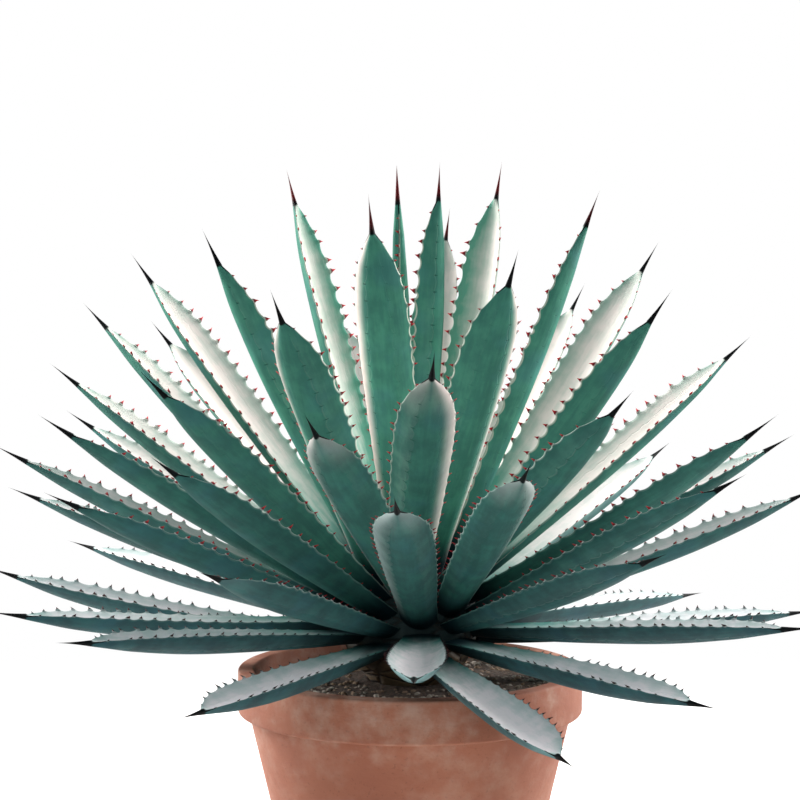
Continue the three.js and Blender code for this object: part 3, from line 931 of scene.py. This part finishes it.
def heart_teeth(axis, grid, place, ring):
    """Thorns along the two steps, lying against the spear and pointing off the step."""
    random = np.random.default_rng(HEART_SEED)
    stations = np.arange(20, HEART_STATIONS - 20, 5)
    station = np.tile(stations, 2) + random.integers(-1, 2, 2 * len(stations))
    first = np.repeat([0, HEART_AROUND // 2], len(stations))
    outward = unit(ring[station, first])
    sideways = unit(np.cross(outward, axis.chord) + outward * 0.3)
    sizes = random.uniform(0.65, 1.0, len(station))
    sizes = sizes * np.interp(place[station], [0.2, 0.5, 0.9], [0.6, 1, 0.7])
    forward = square(np.broadcast_to(axis.chord, sideways.shape), sideways)
    leans = random.uniform(-0.3, 0.5, len(station))
    return thorns(grid[station, first], sideways, forward, sizes, leans), station


def heart_piece():
    """The spear and its teeth; across goes past 1 just beside each step, to give it a dark line."""
    axis = Axis(ROOTS[-1], *HEART)
    grid, place, part, ring = heart_grid(axis)
    cones, station = heart_teeth(axis, grid, place, ring)
    points, quads, triangles = toothed_tube(axis, grid, cones, flipped=True)
    seam = np.where(part < 0.05, 1.06, np.where(part < 0.1, 0.99, 0.9 - part * 0.5))
    place_grid, across = np.broadcast_arrays(place[:, None], seam)
    marks = leaf_marks(axis, points, place_grid, across, np.full(across.shape, -1.0), place[station])
    marks |= {"upright": 1.0, "dust": 0.0, "number": 0.37}
    return stand_in("heart_spear", "heart", "heart", points, quads, triangles, leaf_material, marks)


print("the heart holds", round(heart_piece(), 1), "cm3")

# %% [markdown]
# ## The clay pot
# A plain thrown pot is a profile turned round an axis. The CAD solid has thirty-six flat sides;
# here the same profile is turned in fine steps, with its edges rounded, and the hand of the
# thrower is left to the finish: faint rings in the clay and a pale bloom of lime.

# %% Turned surfaces


def turned(profile, around=160):
    """Rings of points: radius r at height z for each profile point, turned round the upright axis."""
    radius, height = np.array(profile).T[..., None]
    x, y = radius * np.cos(turns(around)), radius * np.sin(turns(around))
    return np.stack([x, y, np.broadcast_to(height, x.shape)], axis=-1)


def rounded(profile, radius, steps=5):
    """Cuts each corner of a closed profile back by radius and puts a smooth quadratic arc there."""
    profile = np.array(profile, dtype=float)
    before, after = np.roll(profile, 1, axis=0) - profile, np.roll(profile, -1, axis=0) - profile
    shorter = np.minimum(np.linalg.norm(before, axis=1), np.linalg.norm(after, axis=1))
    reach = np.minimum(radius, 0.45 * shorter)[:, None]
    start = profile + unit(before) * reach
    end = profile + unit(after) * reach
    t = np.linspace(0, 1, steps)[:, None, None]
    arc = (1 - t) ** 2 * start + 2 * t * (1 - t) * profile + t**2 * end
    return arc.transpose(1, 0, 2).reshape(-1, 2)


# %% Pot finish and pot


def clay_finish():
    """Mottled clay with dark specks, lime that gathers near the rim, and the thrower's faint rings."""
    f = new_finish("clay")
    place = f.place()
    clouds = f.noise(place, 9.0, 5.0)
    specks = f.noise(place, 420.0, 2.0)
    rings = f.noise(f.stretched(place, 0.4, 0.4, 1.0), 160.0, 2.0)
    near_rim = f.height(place).step(0.1, 0.2)
    lime = (clouds * 0.5 + f.noise(place, 60.0, 5.0) * 0.6).step(0.48, 0.8) * (0.16 + near_rim * 0.3)
    clay = f.paint(
        f.mix(clouds.step(0.3, 0.7), (140, 82, 60), (160, 101, 77)),
        (specks.step(0.6, 0.72) * 0.4, (112, 66, 48)),
        (lime, (196, 176, 160)),
    )
    relief = f.relief((rings, 0.0006), (specks, 0.00018))
    return f.surface({"Base Color": clay, "Roughness": 0.82 + (clouds - 0.5) * 0.15, "Normal": relief})


EDGE_RADIUS = 2.5
POT_PROFILE = [
    (10, 3), (67, 3), (70, 0), (98, 0), (137, 164), (146, 164), (146, 200), (132, 200), (89, 14), (10, 14),
]


def pot_piece():
    """The pot's closed profile with rounded corners, turned once round."""
    rings = turned(rounded(POT_PROFILE, EDGE_RADIUS))
    quads = ring_quads(*rings.shape[:2], closed=True)
    return stand_in("clay_pot", "clay", "pot", rings.reshape(-1, 3), quads, NO_TRIANGLES, clay_finish())


print("the pot's clay is", round(pot_piece()), "cm3")

# %% [markdown]
# ## Soil with grit
# Agaves are potted in a free-draining mix topped with grit. The soil's top is a disc that rises
# to the stem and is broken by fine noise. Several hundred stones lie on it: each is a small
# lump of few faces, a sphere's points pushed in and out, squashed and half sunk.

# %% Soil finish


def soil_finish():
    """Crumbs of dark earth with damp patches; stones are grey or warm, with earth on them."""
    f = new_finish("soil")
    place = f.place()
    stone = f.attribute("stone")
    crumbs = f.noise(place, 260.0, 5.0, 0.7)
    damp = f.noise(place, 16.0, 3.0)
    earth = f.mix(crumbs.step(0.35, 0.65), (38, 29, 23), (84, 66, 52))
    earth = f.mix(damp.step(0.45, 0.65) * 0.5, earth, (50, 40, 33))
    grey = f.mix(stone, (112, 104, 94), (176, 168, 156))
    warm = f.mix(stone, (150, 128, 104), (120, 98, 80))
    stones = f.mix(f.noise(place, 31.0, 1.0).step(0.45, 0.55), grey, warm)
    stones = f.mix(crumbs.step(0.5, 0.7) * 0.35, stones, (90, 80, 70))
    colour = f.mix(stone.step(-0.5, -0.1), earth, stones)
    relief = f.relief((crumbs, 0.0012))
    return f.surface({"Base Color": colour, "Roughness": 0.95 - crumbs * 0.1, "Normal": relief})


# %% Stones


def lumps(count, centres, sizes, random, sides=7, rings=5):
    """Stones: spheres of a few rings, with each point's radius changed a little, then squashed."""
    lift = np.pi * np.arange(1, rings) / rings
    ball = turned(np.c_[np.sin(lift), np.cos(lift)], sides).reshape(-1, 3)
    ball = np.concatenate([ball, [[0, 0, 1], [0, 0, -1]]])
    shape = ball[None] * random.uniform(0.78, 1.15, (count, len(ball), 1))
    x, y, z = np.moveaxis(shape * random.uniform(0.65, 1.2, (count, 1, 3)) * [1, 1, 0.7], -1, 0)
    spin = random.uniform(0, 2 * np.pi, count)[:, None]
    shape = np.stack([x * np.cos(spin) - y * np.sin(spin), x * np.sin(spin) + y * np.cos(spin), z], axis=-1)
    faces = tube_faces(rings - 1, sides)
    quads, triangles = (copies(part, count, len(ball)) for part in faces)
    return centres[:, None] + shape * sizes[:, None, None], quads, triangles


pebble = lumps(1, np.zeros((1, 3)), np.ones(1), np.random.default_rng(1))
print("a stone has", len(pebble[1]), "quads and", len(pebble[2]), "triangles")

# %% Soil
SOIL_SEED = 12
SOIL_EDGE = 128.6
SOIL_TOP = 185.6
SOIL_RISE = 4.4
CRUMB_HEIGHT = 1.2
SOIL_FLOOR = 14.3
SOIL_FLOOR_EDGE = 88.7
STEM_HOLE = 36.5
STEM_HOLE_FLOOR = 133.3
STONES = 620
STONE_ZONE = (48.0, 125.5)


def soil_height(radius, noise):
    """The soil's top: it rises from the wall to the stem with the power 0.8, and crumbs break it."""
    share = np.clip((SOIL_EDGE - radius) / (SOIL_EDGE - STEM_HOLE), 0, 1)
    return SOIL_TOP + SOIL_RISE * share**0.8 + noise * CRUMB_HEIGHT


def soil_ground(random, around=180):
    """Rings over the top from the wall to the hole, down to its point, and out over the floor."""
    radius = np.linspace(SOIL_EDGE, STEM_HOLE, 60)
    noise = random.uniform(-0.5, 0.5, (len(radius), around))
    noise[[0, -1]] = 0
    top = turned(np.c_[radius, radius * 0], around)
    top[..., 2] = soil_height(radius[:, None], noise)
    hole = [(0.6, STEM_HOLE_FLOOR + 0.1), (0.02, STEM_HOLE_FLOOR)]
    rest = turned(hole + [(0.02, SOIL_FLOOR), (SOIL_FLOOR_EDGE, SOIL_FLOOR)], around)
    return np.concatenate([top, rest])


def soil_piece():
    """The ground, and stones that lie evenly over its ring, a little sunk."""
    random = np.random.default_rng(SOIL_SEED)
    rings = soil_ground(random)
    ground = rings.reshape(-1, 3)
    spread = np.sqrt(random.uniform(STONE_ZONE[0] ** 2, STONE_ZONE[1] ** 2, STONES))
    turn = random.uniform(0, 2 * np.pi, STONES)
    sizes = random.uniform(1.3, 3.4, STONES)
    height = soil_height(spread, 0) + sizes * 0.1 - 0.5
    centres = np.stack([spread * np.cos(turn), spread * np.sin(turn), height], axis=-1)
    stones, stone_quads, stone_ends = lumps(STONES, centres, sizes, random)
    points = np.concatenate([ground, stones.reshape(-1, 3)])
    quads = np.concatenate([ring_quads(*rings.shape[:2], closed=True), stone_quads + len(ground)])
    shades = np.repeat(random.uniform(0, 1, STONES), stones.shape[1])
    marks = {"stone": np.append(np.full(len(ground), -1.0), shades)}
    ends = stone_ends + len(ground)
    return stand_in("potting_soil", "soil", "soil", points, quads, ends, soil_finish(), marks)


print("soil and stones fill", round(soil_piece()), "cm3")

# %% [markdown]
# ## The stem
# Little of it shows: a pale fibrous neck between the leaf bases and the soil, ringed by the scars
# of old leaves. It keeps the CAD profile, turned finer, and the scars are relief in its finish.

# %% Stem
STEM_FOOT = 134.0
STEM_NECK = (35.9, 191.8)


def stem_finish():
    """Upright fibres and a net of flat scars; very dark green where the leaves grow, partly painted shade
    of the crown.
    """
    f = new_finish("stem")
    place = f.place()
    fibres = f.noise(f.stretched(place, 1, 1, 0.2), 190.0, 4.0)
    cells = {"Vector": f.stretched(place, 1, 1, 2.2), "Scale": 34.0}
    scars = f.node("ShaderNodeTexVoronoi", {"feature": "DISTANCE_TO_EDGE"}, cells)
    old = f.mix(fibres, (86, 70, 50), (132, 112, 82))
    # The stem's top, among the leaf bases, is a very dark green: partly painted shade of the crown
    young = f.mix(fibres, (18, 34, 36), (40, 62, 60))
    colour = f.mix(f.height(place).step(0.205, 0.232), old, young)
    colour = f.mix(scars.step(0.09, 0.01) * 0.7, colour, (34, 30, 24))
    relief = f.relief((scars.step(0.0, 0.14), 0.0016), (fibres, 0.0006))
    return f.surface({"Base Color": colour, "Roughness": 0.85 - fibres * 0.1, "Normal": relief})


def stem_piece(around=96):
    """A cone from the foot to the neck, then most of a sphere round the crown."""
    head = np.radians(np.linspace(-40, 89, 60))
    arc = np.c_[STEM_RADIUS * np.cos(head), CROWN_MM[2] + STEM_RADIUS * np.sin(head)]
    rings = turned(np.concatenate([[(0.05, STEM_FOOT), STEM_NECK], arc]), around)
    ends = [[0, 0, STEM_FOOT], [0, 0, CROWN_MM[2] + STEM_RADIUS]]
    points = np.concatenate([rings.reshape(-1, 3), ends])
    faces = tube_faces(len(rings), around, flipped=True)
    return stand_in("leaf_stem", "stem", "stem", points, *faces, stem_finish())


print("the stem holds", round(stem_piece()), "cm3")

# %% [markdown]
# ## Floor and light
# The photograph's light is broad and soft and comes mostly from above and behind, so the inner
# faces and the rims glow while the backs that face the viewer stay deep. A big soft panel over
# and behind the plant, one at each side and a weak one in front give that, over a pale floor.

# %% Floor
FLOOR_RADIUS = 1.25


def add_floor(around=96):
    """Rings of a disc round the pot; its finish fades out towards the edge, into the background."""
    radius = np.linspace(0.02, FLOOR_RADIUS, 12) * 1000
    points = turned(np.c_[radius, radius * 0], around).reshape(-1, 3)
    quads = ring_quads(len(radius), around)[:, ::-1]
    f = new_finish("floor")
    place = f.place()
    away = f.node("ShaderNodeVectorMath", {"operation": "LENGTH"}, {0: place}, out="Value")
    colour = f.mix(f.noise(place, 3.0, 2.0), (236, 236, 234), (244, 244, 242))
    fade = away.step(FLOOR_RADIUS, FLOOR_RADIUS * 0.45)
    material = f.surface({"Base Color": colour, "Roughness": 0.9, "Alpha": fade})
    floor = add_piece("floor", points, quads, NO_TRIANGLES, material)


add_floor()
print("floor disc", FLOOR_RADIUS * 2, "m across")

# %% Soft panels and the studio's walls


def add_panel(name, power, size, location, aim=(0, 0, 0.4), colour=(1, 0.965, 0.95)):
    """A soft rectangular light of a power in watts that faces its aim."""
    data = bpy.data.lights.new(name, "AREA")
    data.shape = "RECTANGLE"
    data.size, data.size_y = size
    data.energy = power
    data.color = colour
    panel = add_object(name, data)
    panel.location = location
    ahead = unit(np.array(aim) - np.array(location))
    panel.rotation_euler = (np.arccos(-ahead[2]), 0, np.arctan2(-ahead[0], ahead[1]))


def add_world(background, ambient):
    """A pale background for the camera, and a weaker light from all round for everything else."""
    world = bpy.data.worlds.new("studio")
    f = Finish(world)
    seen = f.node("ShaderNodeLightPath", out="Is Camera Ray")
    lit, shown = (f.node("ShaderNodeBackground", None, {"Color": c}) for c in (ambient, background))
    mixed = f.node("ShaderNodeMixShader", None, {0: seen, 1: lit, 2: shown})
    f.node("ShaderNodeOutputWorld", None, {"Surface": mixed})
    bpy.context.scene.world = world


add_panel("over", 36, (1.8, 1.3), (0.0, 0.6, 1.9))
add_panel("left", 84, (0.7, 1.3), (-1.65, 0.8, 1.0))
add_panel("right", 84, (0.7, 1.3), (1.65, 0.8, 1.0))
add_panel("front", 20, (1.6, 1.2), (-0.4, -2.4, 1.5), colour=(0.9, 0.97, 1.0))
add_world((1, 1, 1, 1), (0.085, 0.1, 0.112, 1))
bpy.context.scene.view_settings.view_transform = "Standard"
print("four soft panels")
